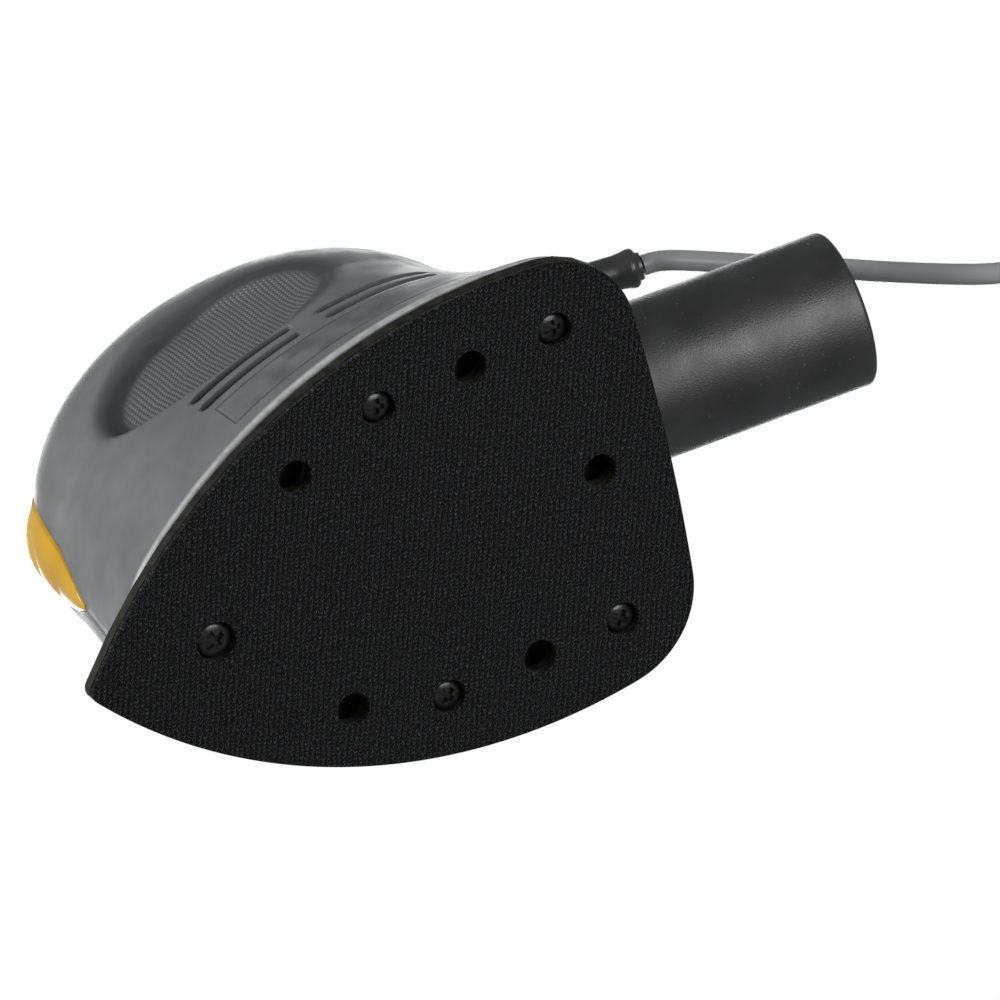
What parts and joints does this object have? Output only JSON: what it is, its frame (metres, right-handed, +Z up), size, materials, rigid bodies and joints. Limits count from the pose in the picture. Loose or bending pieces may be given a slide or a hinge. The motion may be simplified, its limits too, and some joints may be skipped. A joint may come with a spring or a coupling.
{
  "type": "orbital palm sander",
  "caption": "Compact mains palm sander with a pointed iron-shaped pad, domed two-part body, nose rocker switch and rear dust port.",
  "frame": {"origin": "centre of the sanding face's bounding rectangle, on the face", "axes": "+X towards the pointed nose, +Y the tool's left, +Z up out of the sanding face through the body"},
  "size_m": [0.3219, 0.1608, 0.1029],
  "materials": {
    "housing_grey": "satin moulded",
    "cap_yellow": "gloss",
    "pad_black": "hook fabric",
    "plate_black": "satin moulded",
    "port_black": "satin moulded",
    "rubber_black": "matt",
    "cord_grey": "satin",
    "screw_black": "black oxide",
    "steel": "ground",
    "lamination": "stacked sheet",
    "copper": "enamelled copper",
    "brass": "drawn",
    "carbon": "pressed carbon",
    "frame_plastic": "moulded",
    "capacitor_case": "lacquered"
  },
  "bodies": {
    "housing": {"base_frame": "frame_plastic", "brush_holder_front": "brass", "brush_holder_rear": "brass", "capacitor": "capacitor_case", "carbon_brush_front": "carbon", "carbon_brush_rear": "carbon", "clamp_screw": "steel", "cord_boot": "rubber_black", "cord_clamp": "frame_plastic", "cord_coil": "cord_grey", "dust_duct": "frame_plastic", "field_windings": "copper", "housing_screw_front_low": "steel", "housing_screw_front_middle": "steel", "housing_screw_front_top": "steel", "housing_screw_rear": "steel", "inner_lead": "cord_grey", "left_housing": "housing_grey", "lower_bearing": "steel", "motor_deck": "frame_plastic", "motor_frame": "frame_plastic", "plug_body": "rubber_black", "plug_pin_inner": "brass", "plug_pin_outer": "brass", "power_cord": "cord_grey", "right_housing": "housing_grey", "stator": "lamination", "switch_module": "frame_plastic", "upper_bearing": "steel", "upper_bracket": "frame_plastic"},
    "rotor": {"armature_shaft": "steel", "armature_core": "lamination", "commutator": "copper", "cooling_fan": "frame_plastic", "dust_fan": "frame_plastic", "eccentric": "steel", "counterweight": "steel"},
    "pad": {"hook_pad": "pad_black", "backing_plate": "plate_black", "pad_bearing": "steel", "flexible_post_front": "rubber_black", "flexible_post_mid_left": "rubber_black", "flexible_post_mid_right": "rubber_black", "flexible_post_rear_left": "rubber_black", "flexible_post_rear_right": "rubber_black", "pad_screw_front": "screw_black", "pad_screw_mid_left": "screw_black", "pad_screw_mid_right": "screw_black", "pad_screw_rear_left": "screw_black", "pad_screw_rear_right": "screw_black"},
    "switch": {"switch_cap": "cap_yellow"},
    "port": {"dust_port": "port_black"}
  },
  "joints": [
    {"name": "motor_spin", "type": "hinge", "parent": "housing", "child": "rotor", "pos_m": [-0.012, 0, 0], "axis": [0, 0, 1], "continuous": true},
    {"name": "pad_orbit", "type": "hinge", "parent": "rotor", "child": "pad", "pos_m": [-0.01125, 0, 0], "axis": [0, 0, 1], "continuous": true},
    {"name": "switch_rock", "type": "hinge", "parent": "housing", "child": "switch", "pos_m": [0.048, 0, 0.065], "axis": [0, -1, 0], "range_deg": [0, 4]},
    {"name": "port_twist", "type": "hinge", "parent": "housing", "child": "port", "pos_m": [-0.1254, 0, 0.0222], "axis": [-0.9914, 0, -0.1305], "range_deg": [-30, 30]}
  ],
  "couplings": [
    {"joint": "pad_orbit", "follows": "motor_spin", "ratio": -1}
  ]
}
